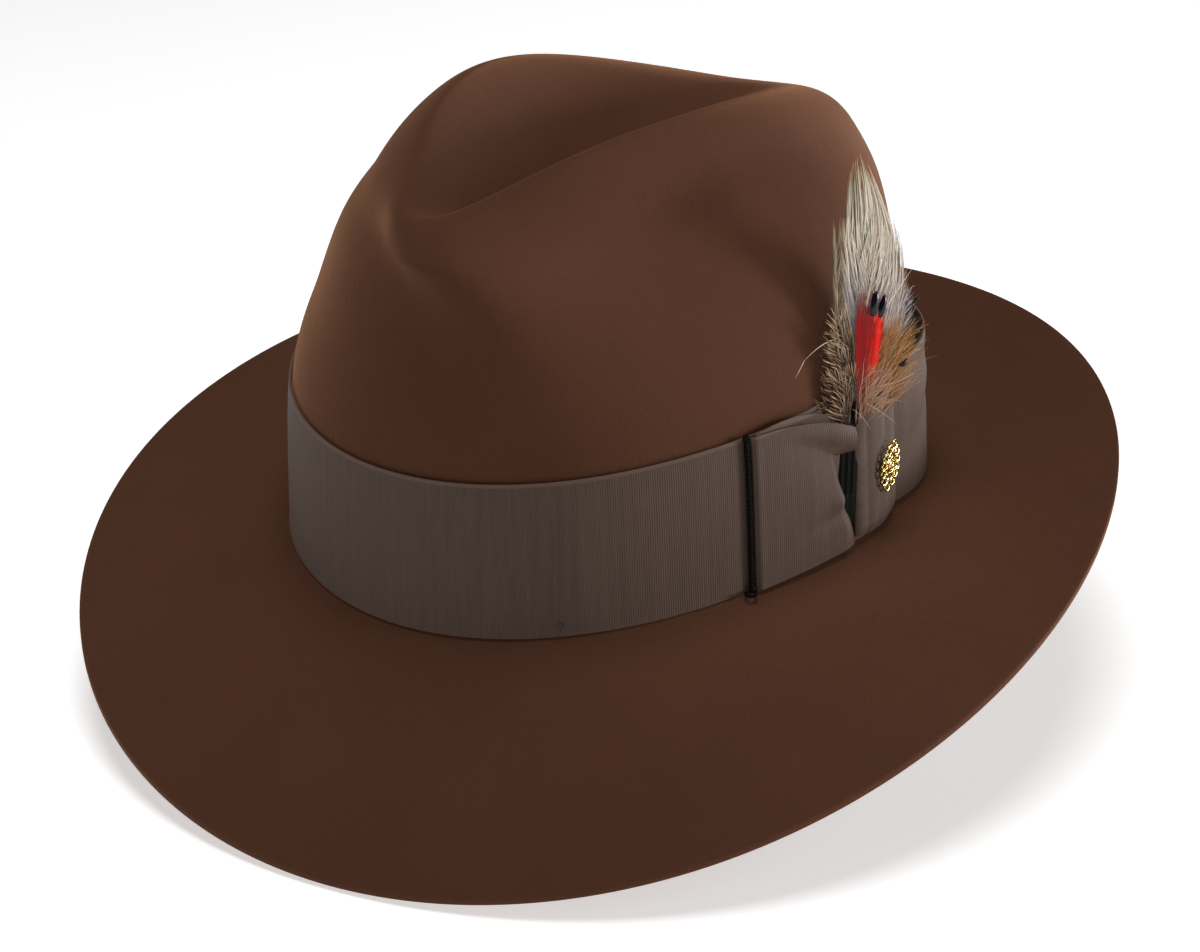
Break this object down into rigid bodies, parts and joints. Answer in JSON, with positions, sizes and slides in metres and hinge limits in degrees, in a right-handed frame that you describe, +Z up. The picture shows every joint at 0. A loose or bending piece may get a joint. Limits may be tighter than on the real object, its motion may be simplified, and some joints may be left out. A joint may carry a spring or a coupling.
{
  "type": "fedora hat",
  "caption": "Felt hat with a creased crown, snap brim, wide ribbon and side bow, a tucked feather spray, a bow pin, leather sweatband and satin lining.",
  "frame": {"origin": "centre of the head opening, at the level of the brim break, where the crown meets the brim", "axes": "+Z up out of the crown, -Y the front of the hat, +X the wearer's left, the bow side"},
  "size_m": [0.313, 0.335, 0.179],
  "materials": {
    "felt": "chocolate brown fur felt, close nap",
    "ribbon": "grey-brown grosgrain ribbon",
    "thread": "dark sewing thread",
    "cord": "black elastic cord",
    "leather": "brown roan leather",
    "reed": "cream reed",
    "paper": "blank cream paper tab",
    "satin": "bronze satin",
    "clear_film": "clear soft film",
    "card": "black stiff card",
    "quill": "horn-coloured quill",
    "feather_cream": "cream hackle with dark streaks",
    "feather_barred": "barred olive and gold",
    "feather_red": "dyed red",
    "feather_black": "glossy blue-black",
    "feather_tan": "tan down",
    "feather_brown": "brown and black hackle",
    "feather_white": "white barbs",
    "gold": "polished gold plate"
  },
  "bodies": {
    "hat": {"side_crown": "felt", "crown_tip": "felt", "brim": "felt", "hatband": "ribbon", "band_tacks": "thread", "bow_base": "ribbon", "bow_front_under_leaf": "ribbon", "bow_front_loop": "ribbon", "bow_rear_loop": "ribbon", "bow_knot": "ribbon", "bow_stitches": "thread", "wind_cord": "cord", "wind_cord_anchor": "cord", "wind_cord_loop": "cord", "sweatband": "leather", "sweatband_reed": "reed", "sweatband_bow": "ribbon", "size_tab": "paper", "lining_side": "satin", "lining_tip": "satin", "tip_shield": "clear_film"},
    "brim_front": {"snap_brim": "felt"},
    "spray": {"feather_card": "card", "feather_quills": "quill", "feather_binding": "thread", "feather_main_hackle": "feather_cream", "feather_side_plume": "feather_barred", "feather_red": "feather_red", "feather_black_tips": "feather_black", "feather_tan_fluff": "feather_tan", "feather_brown_hackle": "feather_brown", "feather_white_barbs": "feather_white"},
    "pin": {"pin_badge": "gold", "pin_post": "gold", "pin_clutch": "gold"}
  },
  "joints": [
    {"name": "brim_snap", "type": "hinge", "parent": "hat", "child": "brim_front", "pos_m": [0, -0.10715, -0.004], "axis": [-1, 0, 0], "range_deg": [0, 40]},
    {"name": "spray_pull", "type": "slide", "parent": "hat", "child": "spray", "axis": [-0.0687, 0.1736, 0.9824], "range_m": [0, 0.034]},
    {"name": "pin_turn", "type": "hinge", "parent": "hat", "child": "pin", "pos_m": [0.0949, 0.005, 0.024], "axis": [1, 0, 0], "continuous": true}
  ]
}
